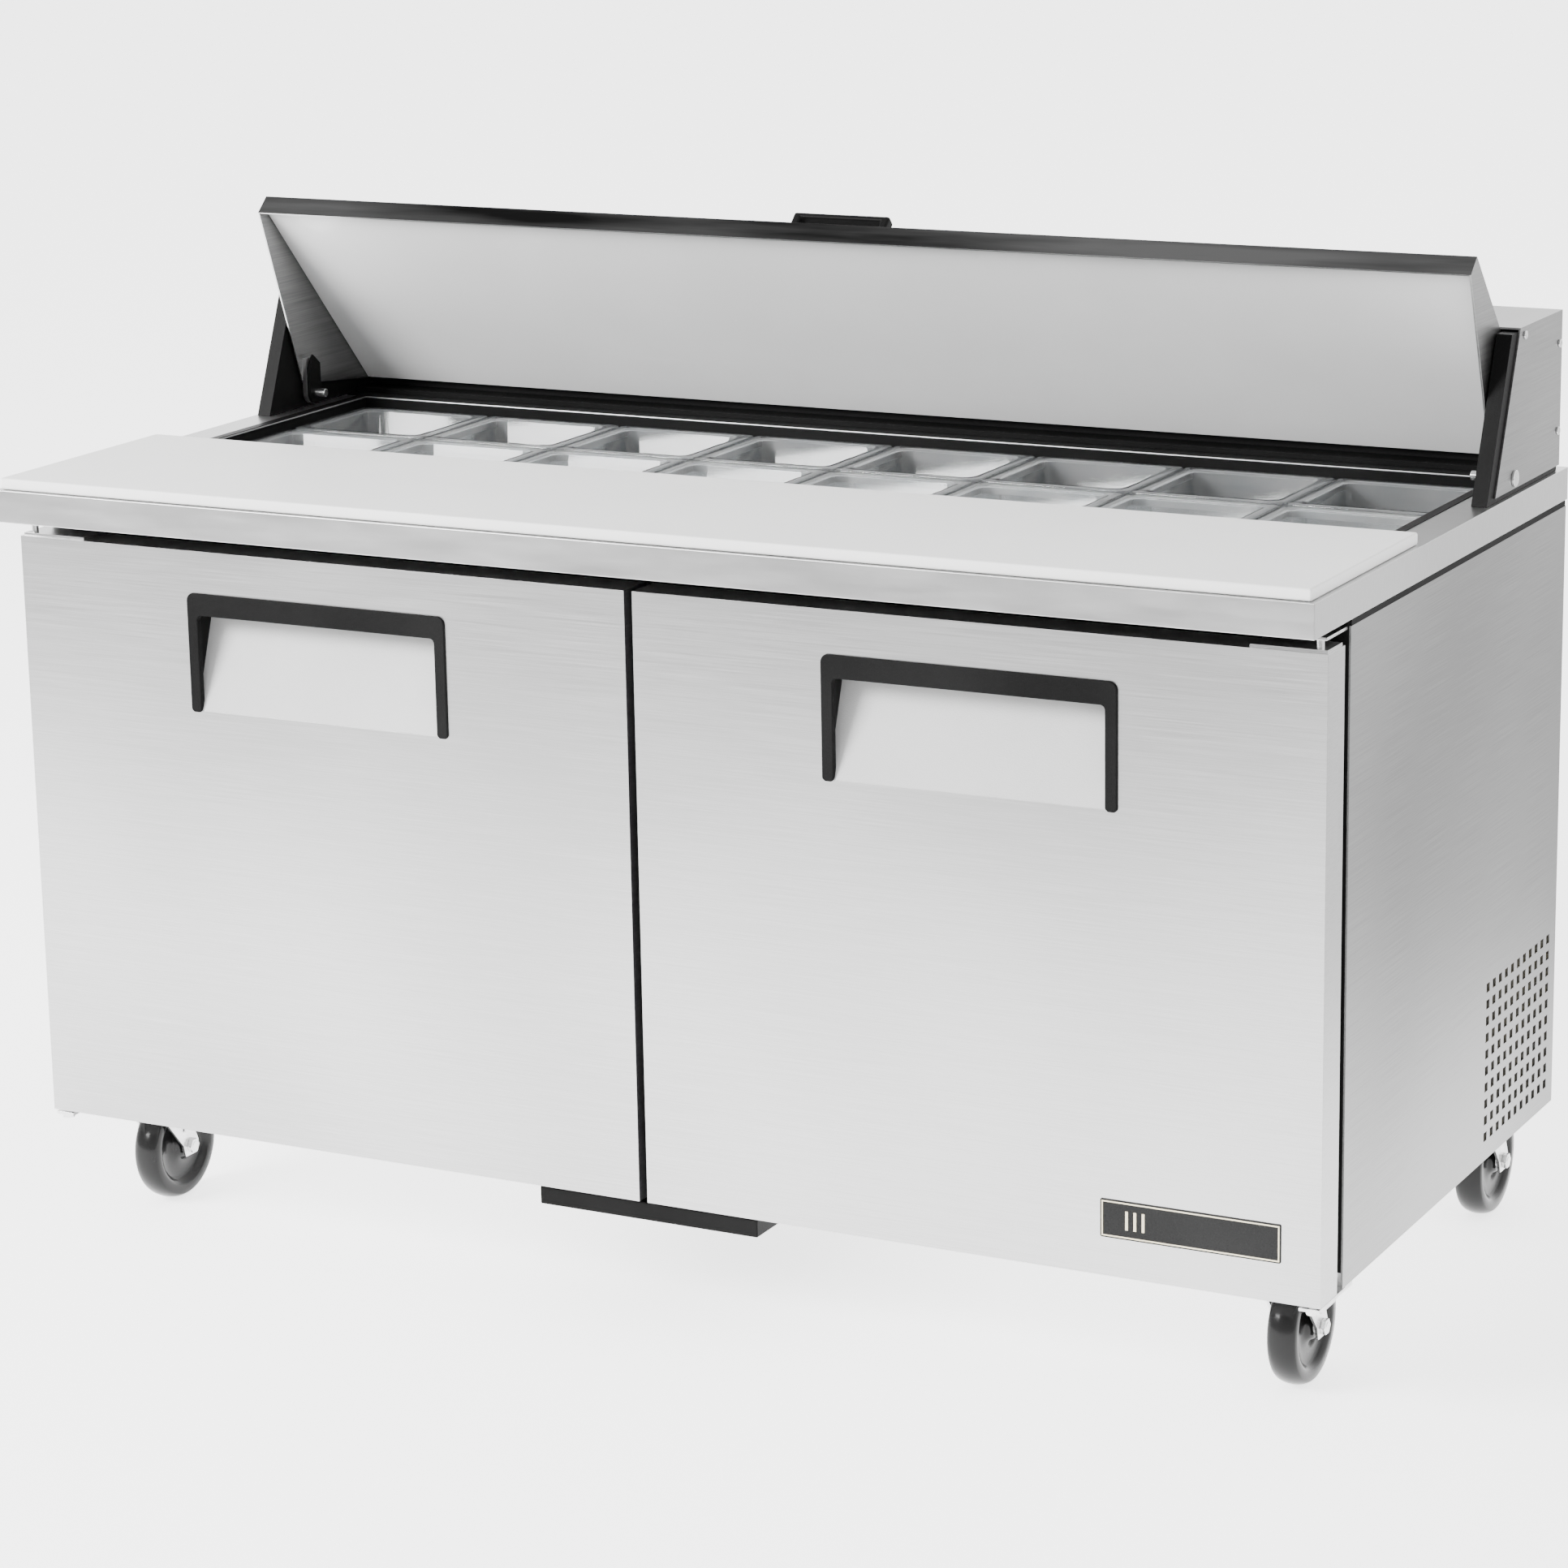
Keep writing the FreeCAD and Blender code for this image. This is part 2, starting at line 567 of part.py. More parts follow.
def make_shelves():
    """Four wire shelves on slotted standards with small clips."""
    wire, level_lows = 2.5, (330, 520)
    number = 0
    clips = []
    for level, depth in zip(level_lows, (445, 590)):
        for word, side in SIDES.items():
            number += 1
            near, far = 15.5, 700.5
            y0, y1 = behind(125), behind(depth)
            bars = [rod(f"ShelfBar{number}n{step}", "x", span(side, near, far)[0],
                        behind(135 + step * (depth - 145) / 2), level, far - near, 3)
                    for step in range(3)]
            slats = 18
            for step in range(slats):
                position = (near + 2.5 + step * (far - near - 5) / (slats - 1)) * side
                bars.append(rod(f"ShelfWire{number}n{step}", "y", position, y0, level + 4.5,
                                y1 - y0, wire))
            keep(f"wire_shelf_{number}", fuse(f"WireShelf{number}", *bars))
            for corner, across in enumerate((15, 689)):
                for end, back in enumerate((150, depth - 45)):
                    clips.append(box(f"Clip{number}c{corner}e{end}",
                                     *span(side, across, across + 12), behind(back - 8),
                                     behind(back + 8), level - 18, level - 3.3))
    posts = []
    for back in (150, 400):
        posts.append(box(f"CentrePost{back}", -15, 15, behind(back - 8), behind(back + 8),
                         202, 690))
        for word, side in SIDES.items():
            posts.append(box(f"WallPost{word}{back}", *span(side, 701, 718),
                             behind(back - 8), behind(back + 8), 202, 690))
    keep("shelf_standards", group("ShelfStandards", *posts, *clips))


def fan(name, axis, x, y, z, radius, depth, bore, blades):
    """An axial fan with flat pitched blades; x, y, z is the back of its hub."""
    hub = rod(name + "Hub", axis, x, y, z, depth, 18)
    blade_items = [hub]
    for number in range(blades):
        blade = doc.addObject("Part::Box", fresh(f"{name}Blade{number}"))
        bind(blade, Length=2, Width=40, Height=radius - 15)
        turn = 360 / blades * number
        spin_axis = Vector(1, 0, 0) if axis == "x" else Vector(0, 1, 0)
        pitch = Rotation(Vector(0, 0, 1), 55 if axis == "y" else -35)
        local = Placement(Vector(-1, -20, 15), Rotation())
        lean = Placement(Vector(), pitch)
        spin = Placement(Vector(), Rotation(spin_axis, turn))
        middle = [as_size(v).value for v in (x, y, z)]
        middle["xyz".index(axis)] += depth / 2
        blade.Placement = Placement(Vector(*middle), Rotation()) * spin * lean * local
        blade_items.append(blade)
    hole = rod(name + "Bore", axis, x - 1 if axis == "x" else x,
               y - 1 if axis == "y" else y, z, depth + 2, bore)
    return cut(name, fuse(name + "Rotor", *blade_items), hole)


def pipe(name, points, radius, bend):
    """A round tube along straight runs joined by tangent arcs."""
    corners = [Vector(*[as_size(v).value for v in point]) for point in points]
    edges, start = [], corners[0]
    for index in range(1, len(corners) - 1):
        before = (corners[index - 1] - corners[index]).normalize()
        after = (corners[index + 1] - corners[index]).normalize()
        half = before.getAngle(after) / 2
        reach = bend / math.tan(half)
        first, last = corners[index] + before * reach, corners[index] + after * reach
        centre = corners[index] + (before + after).normalize() * (bend / math.sin(half))
        middle = centre + (corners[index] - centre).normalize() * bend
        edges += [Part.LineSegment(start, first).toShape(), Part.Arc(first, middle, last).toShape()]
        start = last
    edges.append(Part.LineSegment(start, corners[-1]).toShape())
    circle = Part.Circle(corners[0], corners[1] - corners[0], radius).toShape()
    tube = doc.addObject("Part::Feature", fresh(name))
    tube.Shape = Part.Wire(edges).makePipeShell([Part.Wire(circle)], True, False)
    return tube


def make_refrigeration():
    """Condensing unit low at the back, evaporator high inside, and the lines between."""
    keep("unit_base", box("UnitBase", -300, 640, behind(515), behind(750), 154, 157))
    keep("compressor", turned("Compressor", [
        (0, 0), (60, 0), (68, 6), (68, 110), (60, 140), (38, 158), (0, 162)],
        0, behind(630), 160, "z"))
    coil = box("CoilCore", 562, 600, behind(528), behind(732), 165, 325)
    keep("condenser_coil", coil)
    shroud = box("Shroud", 545, 561.5, behind(528), behind(732), 160, 330)
    throat = rod("Throat", "x", 540, behind(630), 245, 30, 72)
    motor = rod("FanMotor", "x", 450, behind(630), 245, 55, 30)
    shaft = rod("FanShaft", "x", 500, behind(630), 245, 55, 3)
    strut = box("MotorStrut", 470, 490, behind(622), behind(638), 157, 220)
    keep("condenser_shroud", group("CondenserShroud", cut("ShroudPlate", shroud, throat),
                                   fuse("FanMotorSet", motor, shaft, strut)))
    keep("condenser_fan", fan("CondenserFan", "x", 520, behind(630), 245, 66, 24, 3.05, 5))
    keep("evaporator_coil", box("EvaporatorCoil", -200, 200, behind(665), behind(705),
                                425, 560))
    case = box("EvaporatorCase", -215, 215, behind(600), behind(706), 400, 575)
    case_room = box("EvaporatorRoom", -212, 212, behind(603), behind(708), 403, 572)
    mouth = rod("EvaporatorMouth", "y", 0, behind(595), 490, 20, 68)
    drip = rod("CasePassage", "z", LINE_ACROSS, behind(LINE_BACK), 390, 20, LINE_HOLE)
    cool_motor = rod("CoolMotor", "y", 0, behind(638), 490, 26, 22)
    cool_shaft = rod("CoolShaft", "y", 0, behind(606), 490, 34, 3)
    stub = rod("KnobStub", "y", 150, behind(585), 440, 17, 3)
    shell = fuse("EvaporatorShell", cut("CaseShell", case, case_room, mouth, drip), stub)
    keep("evaporator_housing", group("EvaporatorHousing", shell,
                                     fuse("CoolMotorSet", cool_motor, cool_shaft)))
    keep("evaporator_fan", fan("EvaporatorFan", "y", 0, behind(608), 490, 62, 22, 3.05, 5))
    knob = rod("KnobRound", "y", 150, behind(582), 440, 17, 16)
    knob_bore = rod("KnobBore", "y", 150, behind(584.5), 440, 20, 3.05)
    pointer = box("KnobPointer", 148.5, 151.5, behind(580), behind(583), 442, 455)
    keep("thermostat_knob", cut("Knob", fuse("KnobBody", knob, pointer), knob_bore))
    suction = pipe("SuctionLine", [
        (LINE_ACROSS, behind(LINE_BACK), 424.5), (LINE_ACROSS, behind(LINE_BACK), 260),
        (-63.4, behind(LINE_BACK), 260)], 4.8, 25)
    liquid = pipe("LiquidLine", [
        (63.4, behind(600), 220), (250, behind(600), 220), (250, behind(515), 220),
        (581, behind(515), 220), (581, behind(527.5), 220)], 3.2, 10)
    keep("refrigerant_lines", group("RefrigerantLines", suction, liquid))
    case_box = box("ControlBox", -640, -480, behind(660), behind(757), 240, 335)
    neck = rod("GlandNeck", "y", -560, behind(757), 300, 18, 12)
    cord_bore = rod("CordBore", "y", -560, behind(745), 300, 40, 4.5)
    keep("control_box", cut("ControlCase", fuse("ControlBody", case_box, neck), cord_bore))
    tray = box("DripTray", -132, 132, behind(100), behind(480), 111, d.case_low)
    room = box("DripRoom", -129, 129, behind(103), behind(477), 114, 160)
    lip = box("DripLip", -132, 132, behind(48), behind(101), 111, 131)
    keep("condensate_pan", fuse("CondensatePan", cut("DripTub", tray, room), lip))


def make_castors():
    """Four swivel castors; the front pair has wheel brakes."""
    mounts = []
    for row_word, swivel in (("front", d.castor_front), ("rear", d.castor_back)):
        for side_word, side in SIDES.items():
            word = f"{row_word}_{side_word}"
            x, y = d.castor_across * side, behind(swivel)
            hub_y = y + d.castor_trail
            plate = box(f"Plate{word}", x - 45, x + 45, y - 23, y + 38, 148.5, d.case_low)
            race = rod(f"Race{word}", "z", x, y, 141.5, 7, 26)
            king = rod(f"King{word}", "z", x, y, 127.5, 16, d.king_pin)
            king_head = rod(f"KingHead{word}", "z", x, y, 127, 3.5, 9)
            mounts.append(fuse(f"Mount{word}", plate, race, king, king_head))
            crown = rod(f"Crown{word}", "z", x, y, 136, 5, 33)
            yoke = prism(f"Yoke{word}", "YZ_Plane", [
                (y - 26, 136), (y - 26, 120), (hub_y - 15, 66), (hub_y - 11, 52),
                (hub_y + 11, 52), (hub_y + 15, 66), (y + 26, 120), (y + 26, 136)],
                x - 23, x + 23)
            room = box(f"WheelRoom{word}", x - 19.5, x + 19.5, y - 40, y + 120, 0, 130.8)
            axle = rod(f"Axle{word}", "x", x - 29, hub_y, d.wheel, 58, d.axle)
            seat = rod(f"KingBore{word}", "z", x, y, 120, 30, d.king_pin + d.running_fit)
            legs = cut(f"Legs{word}", fuse(f"YokeTop{word}", crown, yoke), room, seat)
            keep(f"castor_fork_{word}", fuse(f"Fork{word}", legs, axle))
            half, bore = d.tread_half, d.axle + d.running_fit
            profile = [(-half, bore), (half, bore), (half, 20), (9, 22), (9, 42), (half, 46),
                       (half, 57), (half - 5, d.wheel), (-half + 5, d.wheel), (-half, 57),
                       (-half, 46), (-9, 42), (-9, 22), (-half, 20)]
            keep(f"castor_wheel_{word}", turned(f"Wheel{word}", profile, x, hub_y, d.wheel, "x"))
            if row_word == "front":
                cheeks, arms, bosses = [], [], []
                for number, low in enumerate((-27, 24)):
                    cheeks.append(box(f"BrakeCheek{word}{number}", x + low, x + low + 3,
                                      hub_y - 14, hub_y + 26, 82, 103))
                    arms.append(prism(f"BrakeArm{word}{number}", "YZ_Plane", [
                        (hub_y + 10, 103), (hub_y + 24, 92), (hub_y + 62, 113),
                        (hub_y + 56, 118)], x + low, x + low + 3))
                    bosses.append(rod(f"BrakeBoss{word}{number}", "x",
                                      x + low + (-1 if number == 0 else 0), hub_y - 5, 92, 4, 6))
                bridge = rod(f"BrakeBridge{word}", "x", x - 27, hub_y + 58, 115, 54, 3)
                cap = box(f"BrakeCap{word}", x - 27, x + 27, hub_y + 54, hub_y + 82, 113, 118)
                keep(f"castor_brake_{side_word}",
                     fuse(f"Brake{word}", cap, bridge, *cheeks, *arms, *bosses))
    keep("castor_mounts", group("CastorMounts", *mounts))


def check_and_write():
    """Recompute, refuse anything failed or empty, and write one file per sub-part."""
    doc.recompute()
    failed = [item.Name for item in doc.Objects
              if "Invalid" in item.State or "Error" in item.State]
    for node, item in subparts.items():
        if item.Shape.isNull() or not item.Shape.isValid() or not item.Shape.Solids:
            failed.append(node)
    if failed:
        raise RuntimeError("failed objects: " + ", ".join(failed))
    os.makedirs("parts", exist_ok=True)
    for node, item in subparts.items():
        item.Shape.exportStep(f"parts/{node}.step")
    print(len(subparts), "sub-parts written")


make_side_panels()
make_carcass()
make_counter()
make_pans()
make_board()
make_hood()
make_lid()
make_doors()
make_hinge_brackets()
make_shelves()
make_refrigeration()
make_castors()
check_and_write()
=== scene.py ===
import json
import math

import bmesh
import bpy
from mathutils import Matrix, Vector


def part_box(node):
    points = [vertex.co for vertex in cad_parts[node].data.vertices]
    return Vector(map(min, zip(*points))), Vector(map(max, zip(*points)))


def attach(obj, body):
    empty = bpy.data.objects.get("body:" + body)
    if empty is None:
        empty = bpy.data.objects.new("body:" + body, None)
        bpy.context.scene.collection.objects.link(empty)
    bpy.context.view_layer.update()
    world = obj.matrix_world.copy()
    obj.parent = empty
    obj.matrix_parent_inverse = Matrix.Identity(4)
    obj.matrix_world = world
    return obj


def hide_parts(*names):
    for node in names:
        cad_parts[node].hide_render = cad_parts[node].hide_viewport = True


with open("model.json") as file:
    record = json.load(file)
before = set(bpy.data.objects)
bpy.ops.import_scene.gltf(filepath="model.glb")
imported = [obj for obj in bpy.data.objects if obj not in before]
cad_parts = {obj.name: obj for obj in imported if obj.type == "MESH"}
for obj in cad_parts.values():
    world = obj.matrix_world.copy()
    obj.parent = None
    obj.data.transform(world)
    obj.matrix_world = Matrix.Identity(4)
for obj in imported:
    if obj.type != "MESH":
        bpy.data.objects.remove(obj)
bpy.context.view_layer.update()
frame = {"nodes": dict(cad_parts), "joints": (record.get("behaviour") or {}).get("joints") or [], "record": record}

# A two-door refrigerated sandwich prep table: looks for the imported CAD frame.
# Everything is in metres, in the frame of the CAD part: X across, Y to the back, Z up.

MM = 0.001

# Camera: where the viewer stands and the lens, in degrees, metres and millimetres.
VIEW_AZIMUTH, VIEW_ELEVATION, VIEW_ROLL = 27.53, 14.33, -1.03
VIEW_DISTANCE, VIEW_TARGET = 5.10, Vector((0.016, -0.053, 0.5226))
SENSOR, LENS = 36.0, 106.5


# ---------------------------------------------------------------- materials

def new_material(name):
    made = bpy.data.materials.new(name)
    made.use_nodes = True
    tree = made.node_tree
    return made, tree, tree.nodes["Principled BSDF"]


def place(tree, scale):
    """Object coordinates stretched by a scale along each axis."""
    where = tree.nodes.new("ShaderNodeTexCoord")
    mapping = tree.nodes.new("ShaderNodeMapping")
    mapping.inputs["Scale"].default_value = scale
    tree.links.new(where.outputs["Object"], mapping.inputs["Vector"])
    return mapping.outputs["Vector"]


def evenly(tree):
    """Object coordinates as they are."""
    return place(tree, (1, 1, 1))


def noise(tree, vector, scale, detail=3.0):
    made = tree.nodes.new("ShaderNodeTexNoise")
    made.inputs["Scale"].default_value = scale
    made.inputs["Detail"].default_value = detail
    tree.links.new(vector, made.inputs["Vector"])
    return made.outputs["Fac"]


def ramp(tree, factor, dark, light, low=0.3, high=0.7):
    """A colour from dark at the factor's low value to light at its high value."""
    made = tree.nodes.new("ShaderNodeValToRGB")
    first, last = made.color_ramp.elements
    first.position, last.position = low, high
    first.color, last.color = (*dark, 1), (*light, 1)
    tree.links.new(factor, made.inputs["Fac"])
    return made.outputs["Color"]


def grey(level):
    return (level, level, level)


def spread(tree, factor, low, high):
    """A number from low to high as the factor goes from 0 to 1."""
    made = tree.nodes.new("ShaderNodeMapRange")
    made.inputs["To Min"].default_value = low
    made.inputs["To Max"].default_value = high
    tree.links.new(factor, made.inputs["Value"])
    return made.outputs["Result"]


def bump(tree, shader, factor, strength, distance):
    """Fine relief, with its depth in metres."""
    made = tree.nodes.new("ShaderNodeBump")
    made.inputs["Strength"].default_value = strength
    made.inputs["Distance"].default_value = distance
    tree.links.new(factor, made.inputs["Height"])
    tree.links.new(made.outputs["Normal"], shader.inputs["Normal"])


STREAK_SHARE = 0.45


def steel(name, grain, level, rough=0.3):
    """Brushed stainless: fine streaks along the grain and a faint cloudiness."""
    made, tree, shader = new_material(name)
    shader.inputs["Metallic"].default_value = 1.0
    streaks = noise(tree, place(tree, grain), 1.0, 4.0)
    clouds = noise(tree, evenly(tree), 2.2, 1.0)
    mixed = tree.nodes.new("ShaderNodeMath")
    mixed.operation = "MULTIPLY_ADD"
    mixed.inputs[1].default_value = STREAK_SHARE
    tree.links.new(streaks, mixed.inputs[0])
    cloudy = tree.nodes.new("ShaderNodeMath")
    cloudy.operation = "MULTIPLY"
    cloudy.inputs[1].default_value = 1 - STREAK_SHARE
    tree.links.new(clouds, cloudy.inputs[0])
    tree.links.new(cloudy.outputs[0], mixed.inputs[2])
    colour = ramp(tree, mixed.outputs[0], grey(level - 0.06), grey(level + 0.05), 0.38, 0.62)
    tree.links.new(colour, shader.inputs["Base Color"])
    tree.links.new(spread(tree, streaks, rough - 0.05, rough + 0.09), shader.inputs["Roughness"])
    bump(tree, shader, streaks, 0.05, 0.0004)
    return made


def plastic(name, dark, light, rough, grain, depth, coat=0.0, shine=0.5):
    """Moulded plastic, enamel or rubber: its tones, roughness, grain per metre and its depth."""
    made, tree, shader = new_material(name)
    shader.inputs["Specular IOR Level"].default_value = shine
    shader.inputs["Coat Weight"].default_value = coat
    fine = noise(tree, evenly(tree), grain, 2.0)
    broad = noise(tree, evenly(tree), 6.0, 3.0)
    tree.links.new(ramp(tree, broad, dark, light), shader.inputs["Base Color"])
    tree.links.new(spread(tree, fine, rough - 0.06, rough + 0.06), shader.inputs["Roughness"])
    bump(tree, shader, fine, depth, 0.0006)
    return made


def plated(name, dark, light, rough):
    """Zinc or chrome plate, slightly mottled."""
    made, tree, shader = new_material(name)
    shader.inputs["Metallic"].default_value = 1.0
    mottle = noise(tree, evenly(tree), 90.0, 3.0)
    tree.links.new(ramp(tree, mottle, dark, light), shader.inputs["Base Color"])
    tree.links.new(spread(tree, mottle, rough - 0.05, rough + 0.08), shader.inputs["Roughness"])
    return made


def spangled(name):
    """Galvanised sheet with a crystalline spangle."""
    made, tree, shader = new_material(name)
    shader.inputs["Metallic"].default_value = 0.9
    cells = tree.nodes.new("ShaderNodeTexVoronoi")
    cells.inputs["Scale"].default_value = 70.0
    tree.links.new(evenly(tree), cells.inputs["Vector"])
    tone = tree.nodes.new("ShaderNodeSeparateColor")
    tree.links.new(cells.outputs["Color"], tone.inputs["Color"])
    tree.links.new(ramp(tree, tone.outputs[0], grey(0.46), grey(0.6), 0.0, 1.0),
                   shader.inputs["Base Color"])
    tree.links.new(spread(tree, tone.outputs[0], 0.38, 0.5), shader.inputs["Roughness"])
    return made


def clear(name):
    """Clear polycarbonate with faint haze."""
    made, tree, shader = new_material(name)
    shader.inputs["Transmission Weight"].default_value = 0.92
    shader.inputs["IOR"].default_value = 1.49
    haze = noise(tree, evenly(tree), 25.0, 3.0)
    tree.links.new(ramp(tree, haze, (0.86, 0.9, 0.92), (0.97, 0.98, 0.98)),
                   shader.inputs["Base Color"])
    tree.links.new(spread(tree, haze, 0.04, 0.14), shader.inputs["Roughness"])
    return made


STEEL = steel("stainless_front", (9, 60, 900), 0.5)
STEEL_TOP = steel("stainless_top", (9, 900, 60), 0.54, 0.3)
# The side steel is the same stainless made darker: painted shade on the side panels, hood, inner liner and lid
# ends.
STEEL_SHADED = steel("stainless_painted_shade", (60, 9, 900), 0.27, 0.33)
# A near-black copy of the stainless for the lid's front band: a painted reflection of a dark ceiling.
STEEL_DARK_REFLECTION = steel("stainless_painted_reflection", (3, 40, 40), 0.065, 0.3)
ZINC = plated("bright_zinc", grey(0.62), grey(0.82), 0.22)
GALVANISED = spangled("galvanised")
BLACK = plastic("black_plastic", grey(0.004), grey(0.008), 0.42, 1400, 0.35, shine=0.06)
BLACK_GRAIN = plastic("black_grained", grey(0.004), grey(0.009), 0.5, 900, 0.9, shine=0.06)
GREY_GRAIN = plastic("grey_grained", grey(0.50), grey(0.56), 0.5, 800, 0.6)
WHITE = plastic("white_liner", grey(0.88), grey(0.93), 0.24, 200, 0.05, 0.4)
BOARD = plastic("board_white", (0.9, 0.9, 0.89), (0.94, 0.94, 0.93), 0.5, 500, 0.25)
FOAM = plastic("foam", (0.7, 0.62, 0.38), (0.8, 0.73, 0.5), 0.85, 300, 1.0)
RUBBER = plastic("gasket_rubber", grey(0.006), grey(0.012), 0.6, 700, 0.3, shine=0.06)
WHEEL = plastic("wheel_black", grey(0.004), grey(0.008), 0.22, 500, 0.08, 0.06, 0.2)
ENAMEL = plastic("black_enamel", grey(0.005), grey(0.01), 0.28, 250, 0.12, 0.05, 0.15)
EPOXY = plastic("coated_wire", grey(0.72), grey(0.8), 0.35, 600, 0.15, 0.3)
CREAM = plastic("badge_cream", (0.76, 0.68, 0.48), (0.82, 0.75, 0.56), 0.35, 900, 0.1)
COPPER = plated("copper", (0.62, 0.3, 0.19), (0.78, 0.42, 0.28), 0.28)
FIN = plated("aluminium_fin", grey(0.62), grey(0.76), 0.35)
CLEAR = clear("clear_pan")

BY_SLOT = {
    "stainless": STEEL, "galvanised": GALVANISED, "bright_zinc": ZINC, "black_plastic": BLACK,
    "grey_plastic": GREY_GRAIN, "white_plastic": WHITE, "board_white": BOARD,
    "clear_pan": CLEAR, "foam": FOAM, "gasket_rubber": RUBBER, "copper": COPPER,
    "aluminium_fin": FIN, "black_enamel": ENAMEL, "wheel_black": WHEEL,
    "coated_wire": EPOXY, "badge_cream": BLACK,
}
# Side panels, inner liner and hood take the darker side steel, which is painted shade.
NODE_LOOK = {
    "side_panel_left": STEEL_SHADED, "side_panel_right": STEEL_SHADED, "rail_liner": BLACK,
    "counter_top": STEEL_TOP, "pan_bars": STEEL_TOP, "inner_liner": STEEL_SHADED,
    "hood": STEEL_SHADED,
}
SLOT_OF = {part["node"]: part["material_slot"] for part in frame["record"]["subparts"]}
BODY_OF = {node: body for body, nodes in frame["record"]["behaviour"]["bodies"].items()
           for node in nodes}


def look_of(node):
    return NODE_LOOK.get(node, BY_SLOT[SLOT_OF[node]])


# ---------------------------------------------------------------- pieces

SHARP_EDGE, FLAT_ENOUGH = math.radians(35), math.radians(0.5)
WELD = 0.01 * MM


def piece(name, mesh, body, material):
    """A new object that rides on a body."""
    made = bpy.data.objects.new(name, mesh)
    bpy.context.collection.objects.link(made)
    if not mesh.materials:
        mesh.materials.append(material)
    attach(made, body)
    return made


def finish_mesh(name, shape, smooth=True):
    """A mesh from what was built, facing outwards."""
    bmesh.ops.recalc_face_normals(shape, faces=shape.faces)
    mesh = bpy.data.meshes.new(name)
    shape.to_mesh(mesh)
    shape.free()
    for face in mesh.polygons:
        face.use_smooth = smooth
    return mesh


def soften(made, width, segments=2):
    """Round every sharp edge and keep the flats flat."""
    bevel = made.modifiers.new("edges", "BEVEL")
    bevel.width = width
    bevel.segments = segments
    bevel.limit_method = "ANGLE"
    bevel.angle_limit = SHARP_EDGE
    bevel.use_clamp_overlap = True
    weighted = made.modifiers.new("flats", "WEIGHTED_NORMAL")
    weighted.weight = 100


def rounded_node(node, width, material=None, segments=2):
    """The CAD node's own shape with softened edges."""
    shape = bmesh.new()
    shape.from_mesh(frame["nodes"][node].data)
    bmesh.ops.remove_doubles(shape, verts=shape.verts, dist=WELD)
    bmesh.ops.dissolve_limit(shape, angle_limit=FLAT_ENOUGH, verts=shape.verts,
                             edges=shape.edges)
    mesh = finish_mesh(node + "_mesh", shape)
    made = piece(node + "_finished", mesh, BODY_OF[node], material or look_of(node))
    soften(made, width, segments)
    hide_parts(node)
    return made


def lathe(points, centre, steps):
    """A ring turned about X from a closed loop of (along, radius) points."""
    shape = bmesh.new()
    rings = []
    for step in range(steps):
        turn = 2 * math.pi * step / steps
        ring = []
        for along, radius in points:
            spot = Vector((along, radius * math.cos(turn), radius * math.sin(turn)))
            ring.append(shape.verts.new(spot + centre))
        rings.append(ring)
    count = len(points)
    for step in range(steps):
        here, there = rings[step], rings[(step + 1) % steps]
        for index in range(count):
            following = (index + 1) % count
            shape.faces.new((here[index], here[following], there[following], there[index]))
    return shape


def rounded_outline(x0, x1, y0, y1, radius, steps=5):
    """Corners of a rounded rectangle, anticlockwise."""
    spots = []
    for cx, cy, start in ((x1 - radius, y0 + radius, -90), (x1 - radius, y1 - radius, 0),
                          (x0 + radius, y1 - radius, 90), (x0 + radius, y0 + radius, 180)):
        for step in range(steps + 1):
            angle = math.radians(start + 90 * step / steps)
            spots.append((cx + radius * math.cos(angle), cy + radius * math.sin(angle)))
    return spots


def extruded(outline, to_point, low, high):
    """A closed solid between two copies of an outline."""
    shape = bmesh.new()
    bottoms = [shape.verts.new(to_point(u, v, low)) for u, v in outline]
    tops = [shape.verts.new(to_point(u, v, high)) for u, v in outline]
    shape.faces.new(bottoms)
    shape.faces.new(list(reversed(tops)))
    for index in range(len(outline)):
        following = (index + 1) % len(outline)
        shape.faces.new((bottoms[index], tops[index], tops[following], bottoms[following]))
    return shape


def add_block(shape, low, high):
    """Add a closed block to a mesh being built."""
    spots = [Vector((x, y, z)) for x in (low[0], high[0]) for y in (low[1], high[1])
             for z in (low[2], high[2])]
    verts = [shape.verts.new(spot) for spot in spots]
    for corners in ((0, 1, 3, 2), (4, 6, 7, 5), (0, 4, 5, 1), (2, 3, 7, 6), (0, 2, 6, 4),
                    (1, 5, 7, 3)):
        shape.faces.new([verts[index] for index in corners])


def add_part(shape, part):
    """Add one closed solid to a mesh being built."""
    holder = bpy.data.meshes.new("part")
    part.to_mesh(holder)
    part.free()
    shape.from_mesh(holder)
    bpy.data.meshes.remove(holder)


def front_point(across, up, depth):
    """A point of an outline drawn on the front."""
    return Vector((across, depth, up))


def side_point(depth, up, across):
    """A point of an outline drawn on the side."""
    return Vector((across, depth, up))


def arc(centre, radius, start, end, steps):
    """Points along an arc, with its angles in degrees."""
    angles = [math.radians(start + (end - start) * step / steps) for step in range(steps + 1)]
    return [(centre[0] + radius * math.cos(angle), centre[1] + radius * math.sin(angle))
            for angle in angles]


# ---------------------------------------------------------------- doors

def arch_outline(x0, x1, z0, z1):
    """The arch seen from the front: two legs under a bar, open at the bottom."""
    bar, leg, chamfer, outer, inner = 25 * MM, 13.5 * MM, 3 * MM, 9 * MM, 5 * MM
    under = z1 - bar - inner
    return [(x0, z0 + chamfer), (x0 + chamfer, z0), (x0 + leg - chamfer, z0),
            (x0 + leg, z0 + chamfer),
            *arc((x0 + leg + inner, under), inner, 180, 90, 6),
            *arc((x1 - leg - inner, under), inner, 90, 0, 6),
            (x1 - leg, z0 + chamfer), (x1 - leg + chamfer, z0), (x1 - chamfer, z0),
            (x1, z0 + chamfer),
            *arc((x1 - outer, z1 - outer), outer, 0, 90, 6),
            *arc((x0 + outer, z1 - outer), outer, 90, 180, 6)]


